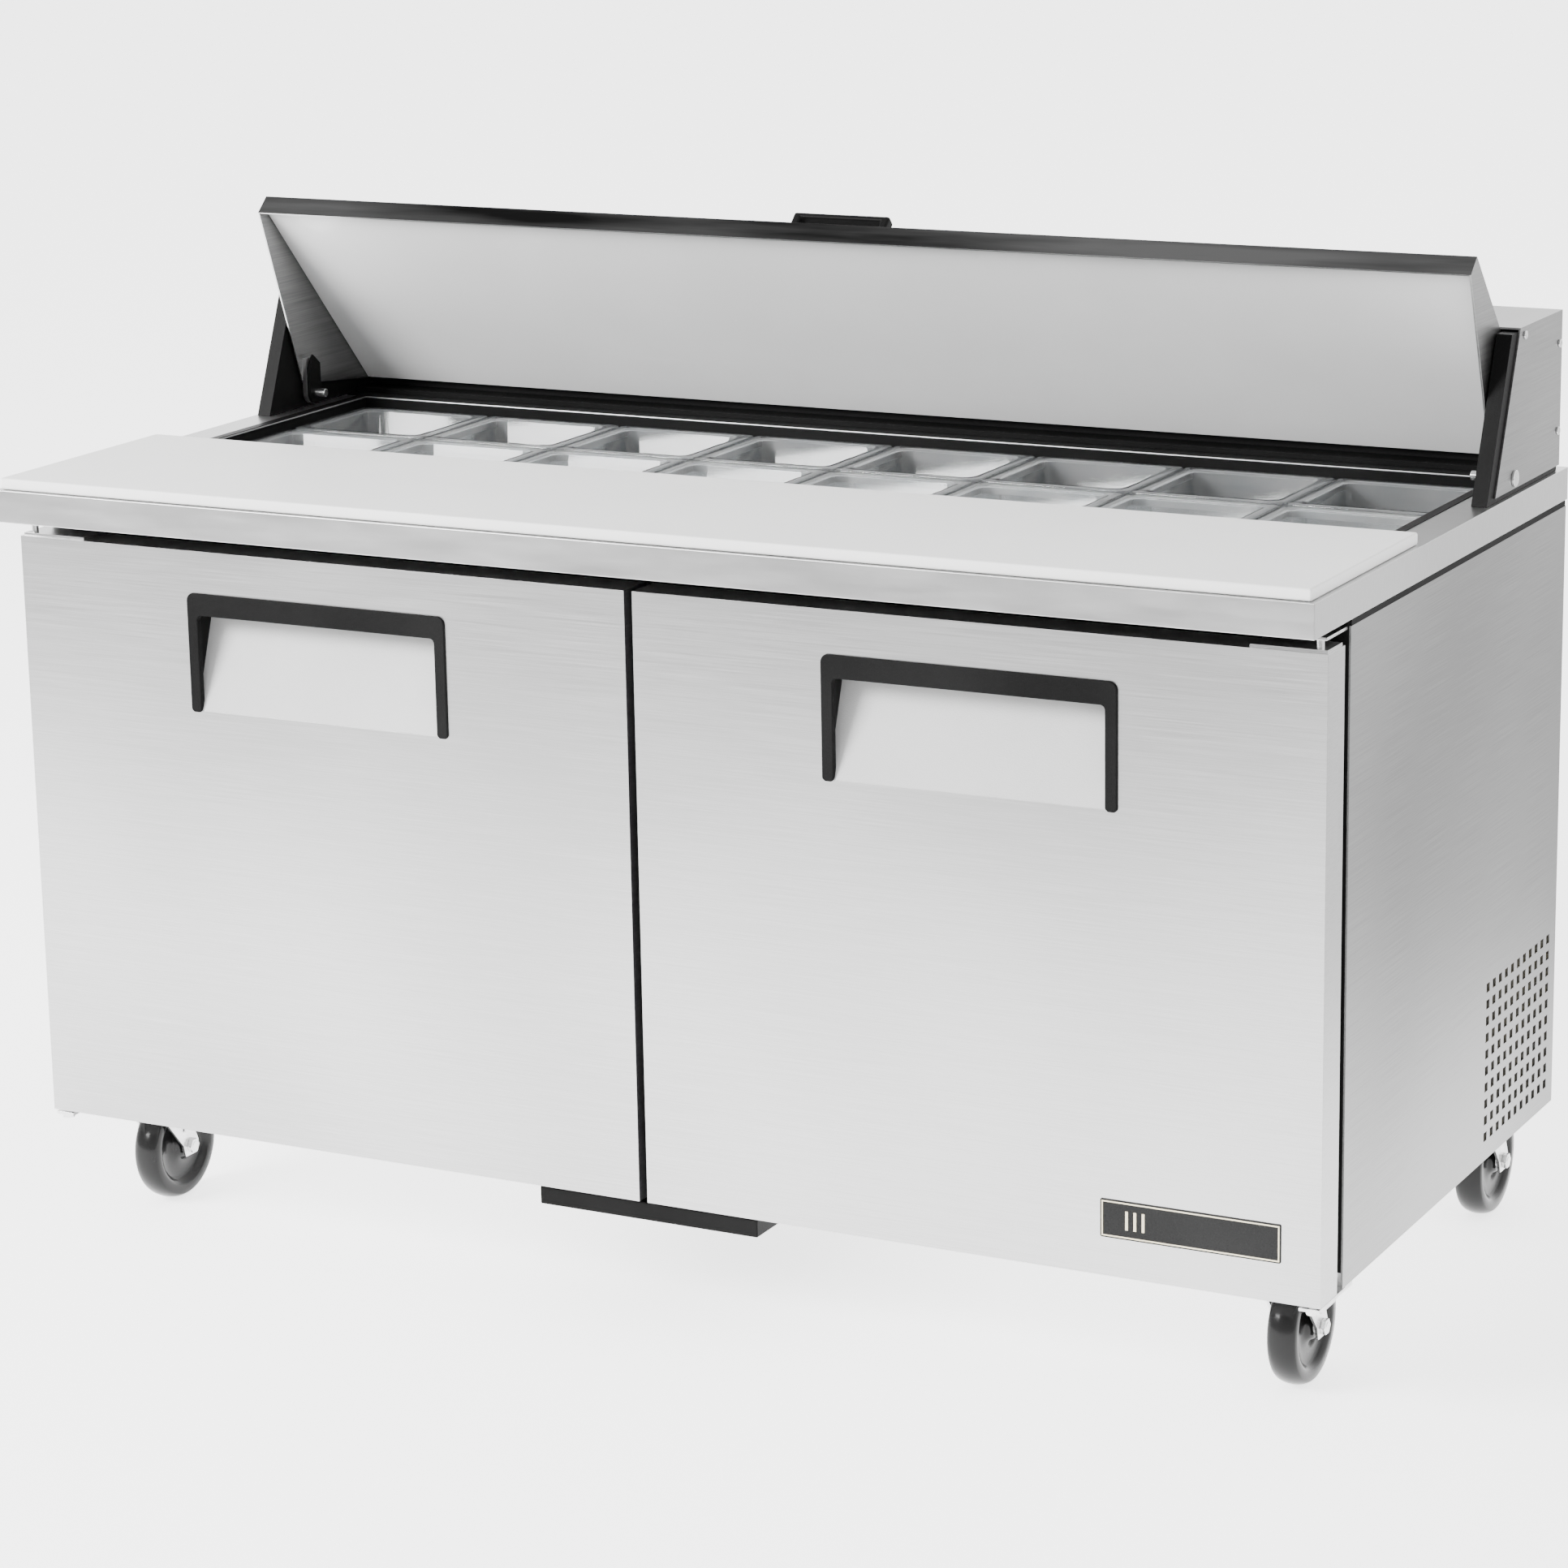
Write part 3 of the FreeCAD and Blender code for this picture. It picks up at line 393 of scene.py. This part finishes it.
def dress_handle(side):
    """Recessed pull: a grained black arch around a sloping light-grey scoop; the black cheeks and lip beside and
    over the scoop are painted shade in the recess.
    """
    node, body = f"door_handle_{side}", f"door_{side}"
    low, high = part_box(node)
    proud, inset, cheek, sheet = 2.5 * MM, 4.5 * MM, 2.5 * MM, 1.2 * MM
    left, right, z0, z1 = low.x + inset, high.x - inset, low.z, high.z
    face, deep = low.y + proud, high.y - 1.5 * MM
    arch = extruded(arch_outline(low.x, high.x, z0, z1), front_point, low.y, face + 5 * MM)
    arch_piece = piece(f"handle_arch_{side}", finish_mesh(f"handle_arch_{side}", arch), body,
                       BLACK_GRAIN)
    soften(arch_piece, 1.6 * MM, 3)
    fold, top = z1 - 31 * MM, z1 - 5 * MM
    profile = [(face + 0.4 * MM, z0 + 3 * MM), (deep, fold), (deep, top), (deep + sheet, top),
               (deep + sheet, fold - 1 * MM), (face + 0.4 * MM, z0 + 1 * MM)]
    scoop_piece = piece(f"handle_scoop_{side}",
                        finish_mesh(f"handle_scoop_{side}",
                                    extruded(profile, side_point, left, right)),
                        body, GREY_GRAIN)
    soften(scoop_piece, 0.5 * MM, 2)
    # The cheeks and the lip over the scoop are black: painted shade on the recess's sides and top.
    painted_shade_cheeks = bmesh.new()
    corners = [(face, z0 + 2 * MM), (deep, fold), (deep, top + 1 * MM), (face, top + 1 * MM)]
    for start in (left, right - cheek):
        add_part(painted_shade_cheeks, extruded(corners, side_point, start, start + cheek))
    add_block(painted_shade_cheeks, (left, face, top), (right, deep + 1 * MM, top + 2 * MM))
    painted_shade_cheek_piece = piece(f"handle_painted_shade_cheeks_{side}", finish_mesh(f"handle_painted_shade_cheeks_{side}", painted_shade_cheeks),
                        body, BLACK)
    for made in (arch_piece, scoop_piece, painted_shade_cheek_piece):
        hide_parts(node)


def dress_badge():
    """Blank name plate: black enamel with a cream border line and no lettering."""
    low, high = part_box("badge")
    plate = extruded(rounded_outline(low.x, high.x, low.z, high.z, 2 * MM), front_point,
                     low.y + 0.25 * MM, high.y)
    plate_piece = piece("badge_plate", finish_mesh("badge_plate", plate), "door_right", ENAMEL)
    soften(plate_piece, 0.3 * MM)
    border = bmesh.new()
    edge, line = 1.6 * MM, 1.5 * MM
    x0, x1, z0, z1 = low.x + edge, high.x - edge, low.z + edge, high.z - edge
    y0, y1 = low.y, low.y + 0.4 * MM
    for corner in (((x0, y0, z0), (x1, y1, z0 + line)), ((x0, y0, z1 - line), (x1, y1, z1)),
                   ((x0, y0, z0 + line), (x0 + line, y1, z1 - line)),
                   ((x1 - line, y0, z0 + line), (x1, y1, z1 - line))):
        add_block(border, *corner)
    middle, half = (z0 + z1) / 2, 10 * MM
    for step in range(3):
        across = x0 + 26 * MM + step * 9 * MM
        add_block(border, (across, y0, middle - half), (across + 3 * MM, y1, middle + half))
    border_piece = piece("badge_border", finish_mesh("badge_border", border, False),
                         "door_right", CREAM)
    for made in (plate_piece, border_piece):
        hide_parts("badge")


# ---------------------------------------------------------------- pans

def pan_mesh(name, centre, wide, length, low, high):
    """A clear tapered pan with a rolled rim and rounded corners."""
    rim, wall, taper, drop = 11 * MM, 2.6 * MM, 7 * MM, 3 * MM
    stations = [  # inset from the rim's edge, height, corner radius
        (0.0, high - drop, 9 * MM), (0.0, high - 0.6 * MM, 9 * MM), (0.7 * MM, high, 9 * MM),
        (rim + wall - 2 * MM, high, 14 * MM), (rim + wall, high - 2 * MM, 15 * MM),
        (rim + wall + taper * 0.9, low + 14 * MM, 17 * MM),
        (rim + wall + taper + 3 * MM, low + 5 * MM, 16 * MM),
        (rim + wall + taper + 12 * MM, low + wall, 12 * MM),
        (rim + taper + 12 * MM, low, 12 * MM), (rim + taper + 1.5 * MM, low + 3 * MM, 17 * MM),
        (rim + taper * 0.9, low + 14 * MM, 18 * MM), (rim, high - drop - 0.8 * MM, 17 * MM),
        (rim - 1.5 * MM, high - drop, 15 * MM)]
    shape = bmesh.new()
    loops = []
    for inset, height, radius in stations:
        spots = rounded_outline(centre.x - wide / 2 + inset, centre.x + wide / 2 - inset,
                                centre.y - length / 2 + inset, centre.y + length / 2 - inset,
                                radius, 4)
        loops.append([shape.verts.new((x, y, height)) for x, y in spots])
    count = len(loops[0])
    floor_in, floor_out = 7, 8
    for index in range(len(loops)):
        if index == floor_in:
            shape.faces.new(loops[floor_in])
            shape.faces.new(list(reversed(loops[floor_out])))
            continue
        here, there = loops[index], loops[(index + 1) % len(loops)]
        for step in range(count):
            following = (step + 1) % count
            shape.faces.new((here[step], here[following], there[following], there[step]))
    return finish_mesh(name, shape)


def dress_pans():
    for row in ("front", "rear"):
        for side in ("left", "right"):
            node = f"pans_{row}_{side}"
            low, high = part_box(node)
            length, gap = high.y - low.y, 3 * MM
            wide = (high.x - low.x - 3 * gap) / 4
            for number in range(4):
                centre = Vector((low.x + wide / 2 + number * (wide + gap), (low.y + high.y) / 2, 0))
                name = f"pan_{row}_{side}_{number + 1}"
                made = piece(name, pan_mesh(name, centre, wide, length, low.z, high.z),
                             node, CLEAR)
                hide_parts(node)


# ---------------------------------------------------------------- lid and hood

def dress_lid():
    """Folded lid sheet; its front band has a painted dark reflection and its ends painted shade."""
    made = rounded_node("lid_skin", 0.9 * MM, STEEL_TOP)
    mesh = made.data
    mesh.materials.append(STEEL_DARK_REFLECTION)
    mesh.materials.append(STEEL_SHADED)
    for face in mesh.polygons:
        # Sloping front faces get the painted dark reflection; end faces get the painted-shade side steel.
        if face.normal.y < -0.5 and face.normal.z > 0.5:
            face.material_index = 1
        elif abs(face.normal.x) > 0.9:
            face.material_index = 2
    rounded_node("lid_liner", 2.0 * MM, WHITE, 3)
    rounded_node("lid_handle", 3.0 * MM, BLACK, 4)
    dress_lid_lugs()


def dress_lid_lugs():
    """Black lug inside each end of the lid, round the hinge pin and tapered upwards."""
    pin, end = frame_joint("lid_hinge"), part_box("lid_skin")[1].x
    radius = 12.6 * MM
    outline = arc((pin.y, pin.z), radius, 180, 360, 12)
    outline += [(pin.y + radius, pin.z + 34 * MM), (pin.y - 2 * MM, pin.z + 46 * MM),
                (pin.y - radius, pin.z + 30 * MM)]
    for word, sign in (("left", -1), ("right", 1)):
        near, far = sorted((sign * (end - 11.5 * MM), sign * (end - 8.1 * MM)))
        made = piece(f"lid_lug_{word}",
                     finish_mesh("lid_lug", extruded(outline, side_point, near, far)), "lid",
                     BLACK)
        soften(made, 0.8 * MM)


def frame_joint(name):
    joint = next(item for item in frame["joints"] if item["name"] == name)
    return Vector(joint["pos_m"])


def dress_hood_well():
    """Black lining of the well under the hood, behind and beside the pans."""
    rail_low, rail_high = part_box("rail_liner")
    counter_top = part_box("counter_top")[1].z
    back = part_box("hood")[1].y - 6 * MM
    thick, rim, lap, half, height = 0.8 * MM, 9 * MM, 2 * MM, 744 * MM, 150 * MM
    front, rear = rail_low.y - rim, rail_high.y - 1 * MM
    inner_left, inner_right = rail_low.x + lap, rail_high.x - lap
    top = counter_top + thick
    shape = bmesh.new()
    add_block(shape, (-half, rear, counter_top), (half, back, top))
    add_block(shape, (-half, back - 2 * MM, top), (half, back, counter_top + height))
    for left, right in ((rail_low.x - rim, inner_left), (inner_right, rail_high.x + rim)):
        add_block(shape, (left, front, counter_top), (right, rear, top))
    add_block(shape, (inner_left, front, counter_top), (inner_right, rail_low.y + lap, top))
    made = piece("rail_trim", finish_mesh("rail_trim", shape, False), "cabinet", BLACK)
    soften(made, 0.25 * MM, 1)


def dress_painted_shadow_gap():
    """Dark rubber strip along each side, between the side panel and the counter's band: painted shade filling the
    shadow gap there.
    """
    panel_low, panel_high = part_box("side_panel_right")
    counter_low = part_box("counter_top")[0]
    foam_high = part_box("insulation")[1]
    short = 2 * MM
    shape = bmesh.new()
    for sign in (-1, 1):
        near, far = sorted((sign * (foam_high.x + 0.1 * MM), sign * (panel_high.x - 0.15 * MM)))
        add_block(shape, (near, panel_low.y + short, panel_high.z + 0.05 * MM),
                  (far, panel_high.y - short, counter_low.z - 0.1 * MM))
    # The strip is black: painted shade in the gap under the counter's band.
    piece("painted_shadow_gap_strip", finish_mesh("painted_shadow_gap_strip", shape, False), "cabinet", RUBBER)


# ---------------------------------------------------------------- castors

WHEEL_STEPS = 72


def dress_wheel(word):
    """Moulded wheel: hub, dished web and rounded tread, turned about the axle."""
    node, body = f"castor_wheel_{word}", f"wheel_{word}"
    low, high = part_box(node)
    centre = (low + high) / 2
    radius, half = (high.z - low.z) / 2, (high.x - low.x) / 2
    bore, tread, fullness = 5.05 * MM, 7 * MM, 0.98
    crown = [(half * math.sin(math.radians(angle)) * fullness,
              radius - tread + tread * math.cos(math.radians(angle)))
             for angle in range(-80, 81, 10)]
    face = [(-half, bore)]
    face += [(-half + inwards * MM, away * MM)
             for inwards, away in ((0, 13), (4, 16), (7, 20), (7.5, 40), (5, 43), (1.5, 46),
                                   (0.3, 50))]
    other_face = [(-along, away) for along, away in reversed(face)]
    shape = lathe(face + crown + other_face, centre, WHEEL_STEPS)
    made = piece(f"wheel_{word}", finish_mesh(f"wheel_{word}", shape), body, WHEEL)
    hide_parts(node)


def dress_axle_nuts(word):
    """Hexagon head and nut on the ends of a castor's axle."""
    low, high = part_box(f"castor_wheel_{word}")
    centre = (low + high) / 2
    corner_radius, near_face, far_face = 9 * MM, 23 * MM, 28.5 * MM
    corners = arc((centre.y, centre.z), corner_radius, 0, 300, 5)
    shape = bmesh.new()
    for side in (-1, 1):
        near, far = sorted((centre.x + side * near_face, centre.x + side * far_face))
        add_part(shape, extruded(corners, side_point, near, far))
    made = piece(f"axle_nuts_{word}", finish_mesh(f"axle_nuts_{word}", shape),
                 f"castor_{word}", ZINC)
    soften(made, 0.8 * MM)


# ---------------------------------------------------------------- coils

def dress_coil(node):
    """Stack of thin fins along the coil's longest side."""
    low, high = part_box(node)
    size = high - low
    along = max(range(3), key=lambda axis: size[axis])
    pitch, thick = 4 * MM, 0.5 * MM
    count = int(size[along] / pitch)
    shape = bmesh.new()
    for number in range(count + 1):
        start, end = list(low), list(high)
        start[along] = low[along] + (size[along] - thick) * number / count
        end[along] = start[along] + thick
        add_block(shape, start, end)
    made = piece(node + "_fins", finish_mesh(node + "_fins", shape, False), BODY_OF[node], FIN)
    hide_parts(node)


# ---------------------------------------------------------------- stage

# The floor fades out of the camera's view: far in front, and to the right of a line that opens
# with distance as the view does. Each fade runs from its dark end to its pale end, in metres.
FLOOR_HALF = 70.0
FRONT_FADE, RIGHT_FADE = (-2.7, -1.9), (1.7, 1.1)
FRONT_SHADE, RIGHT_SHADE = 0.10, 0.36
VIEW_SPREAD = 0.2
FLOOR_GLOW, SKY_STRENGTH, SKY_DIM = 2.6, 3.6, 0.4


def faded(tree, factor, fade, low):
    """From low at the dark end of a fade to 1 at its pale end."""
    made = tree.nodes.new("ShaderNodeMapRange")
    made.interpolation_type = "SMOOTHSTEP"
    made.inputs["From Min"].default_value, made.inputs["From Max"].default_value = fade
    made.inputs["To Min"].default_value, made.inputs["To Max"].default_value = low, 1.0
    tree.links.new(factor, made.inputs["Value"])
    return made.outputs["Result"]


def product(tree, first, second):
    made = tree.nodes.new("ShaderNodeMath")
    made.operation = "MULTIPLY"
    tree.links.new(first, made.inputs[0])
    tree.links.new(second, made.inputs[1])
    return made.outputs[0]


def make_stage():
    """A wide, softly glowing white floor; its dark far parts are only seen mirrored."""
    shape = bmesh.new()
    corners = ((-1, -1, 0), (1, -1, 0), (1, 1, 0), (-1, 1, 0))
    shape.faces.new([shape.verts.new(Vector(corner) * FLOOR_HALF) for corner in corners])
    mesh = bpy.data.meshes.new("floor")
    shape.to_mesh(mesh)
    shape.free()
    pale, tree, shader = new_material("pale_floor")
    spot = tree.nodes.new("ShaderNodeSeparateXYZ")
    where = evenly(tree)
    tree.links.new(where, spot.inputs["Vector"])
    rightward = tree.nodes.new("ShaderNodeVectorMath")
    rightward.operation = "DOT_PRODUCT"
    azimuth = math.radians(VIEW_AZIMUTH)
    across, forward = VIEW_SPREAD * math.sin(azimuth), VIEW_SPREAD * math.cos(azimuth)
    rightward.inputs[1].default_value = (math.cos(azimuth) + across,
                                         math.sin(azimuth) - forward, 0)
    tree.links.new(where, rightward.inputs[0])
    shade = product(tree, faded(tree, spot.outputs["Y"], FRONT_FADE, FRONT_SHADE),
                    faded(tree, rightward.outputs["Value"], RIGHT_FADE, RIGHT_SHADE))
    tree.links.new(ramp(tree, shade, grey(0.0), grey(0.9), 0.0, 1.0), shader.inputs["Base Color"])
    tree.links.new(ramp(tree, shade, grey(0.0), grey(1.0), 0.0, 1.0),
                   shader.inputs["Emission Color"])
    shader.inputs["Emission Strength"].default_value = FLOOR_GLOW
    shader.inputs["Roughness"].default_value = 0.75
    mesh.materials.append(pale)
    floor_object = bpy.data.objects.new("floor", mesh)
    bpy.context.collection.objects.link(floor_object)


def area_light(name, spot, aim, size, power):
    """A rectangular softbox at a spot, turned to its aim; sizes in metres, power in watts."""
    data = bpy.data.lights.new(name, "AREA")
    data.shape = "RECTANGLE"
    data.size, data.size_y = size
    data.energy = power
    lamp = bpy.data.objects.new(name, data)
    lamp.location = spot
    lamp.rotation_mode = "QUATERNION"
    lamp.rotation_quaternion = (Vector(aim) - Vector(spot)).to_track_quat("-Z", "Y")
    bpy.context.collection.objects.link(lamp)


def make_lights():
    """Soft studio light: white behind the part, dimmer in front and overhead; two softboxes."""
    world = bpy.data.worlds.new("studio")
    bpy.context.scene.world = world
    world.use_nodes = True
    tree = world.node_tree
    where = tree.nodes.new("ShaderNodeTexCoord")
    parts = tree.nodes.new("ShaderNodeSeparateXYZ")
    tree.links.new(where.outputs["Generated"], parts.inputs["Vector"])
    shade = product(tree, faded(tree, parts.outputs["Z"], (0.75, 0.05), SKY_DIM),
                    faded(tree, parts.outputs["Y"], (-0.8, 0.3), SKY_DIM))
    background = tree.nodes["Background"]
    tree.links.new(ramp(tree, shade, grey(0.0), grey(1.0), 0.0, 1.0), background.inputs["Color"])
    background.inputs["Strength"].default_value = SKY_STRENGTH
    area_light("key", (-3.0, -4.2, 3.2), (0, 0, 0.8), (2.6, 2.0), 700)
    area_light("fill", (4.0, -0.6, 2.6), (0.3, 0, 0.6), (1.6, 2.4), 10)


def make_camera():
    """The viewer's camera, looking at the target with a slight roll."""
    azimuth, elevation = math.radians(VIEW_AZIMUTH), math.radians(VIEW_ELEVATION)
    back = Vector((math.sin(azimuth) * math.cos(elevation),
                   -math.cos(azimuth) * math.cos(elevation), math.sin(elevation)))
    data = bpy.data.cameras.new("camera")
    data.lens, data.sensor_width = LENS, SENSOR
    data.clip_end = 100
    camera = bpy.data.objects.new("camera", data)
    right = (-back).cross(Vector((0, 0, 1))).normalized()
    up = right.cross(-back)
    roll = math.radians(VIEW_ROLL)
    turned_right = right * math.cos(roll) + up * math.sin(roll)
    turned_up = up * math.cos(roll) - right * math.sin(roll)
    turn = Matrix((turned_right, turned_up, back)).transposed()
    camera.matrix_world = turn.to_4x4()
    camera.location = VIEW_TARGET + back * VIEW_DISTANCE
    bpy.context.collection.objects.link(camera)
    bpy.context.scene.camera = camera


# ---------------------------------------------------------------- assembly

make_camera()
make_stage()
make_lights()

for node, carried in frame["nodes"].items():
    carried.data.materials.clear()
    carried.data.materials.append(look_of(node))

EDGES = {
    "counter_top": 1.4 * MM, "cutting_board": 2.2 * MM, "hood": 0.8 * MM,
    "hood_liner": 1.5 * MM, "hood_fasteners": 0.7 * MM, "door_hinge_brackets": 0.6 * MM,
    "castor_mounts": 0.8 * MM, "condensate_pan": 4 * MM, "front_frame": 1.0 * MM,
    "control_box": 1.5 * MM,
}
for node, width in EDGES.items():
    rounded_node(node, width)
for side in ("left", "right"):
    rounded_node(f"door_skin_{side}", 1.5 * MM)
    rounded_node(f"door_panel_{side}", 2.0 * MM)
    rounded_node(f"door_gasket_{side}", 2.5 * MM)
    rounded_node(f"castor_brake_{side}", 0.8 * MM)
    dress_handle(side)
for word in ("front_left", "front_right", "rear_left", "rear_right"):
    rounded_node(f"castor_fork_{word}", 0.8 * MM)
    dress_wheel(word)
    dress_axle_nuts(word)
dress_badge()
dress_pans()
dress_lid()
dress_hood_well()
dress_painted_shadow_gap()
dress_coil("condenser_coil")
dress_coil("evaporator_coil")
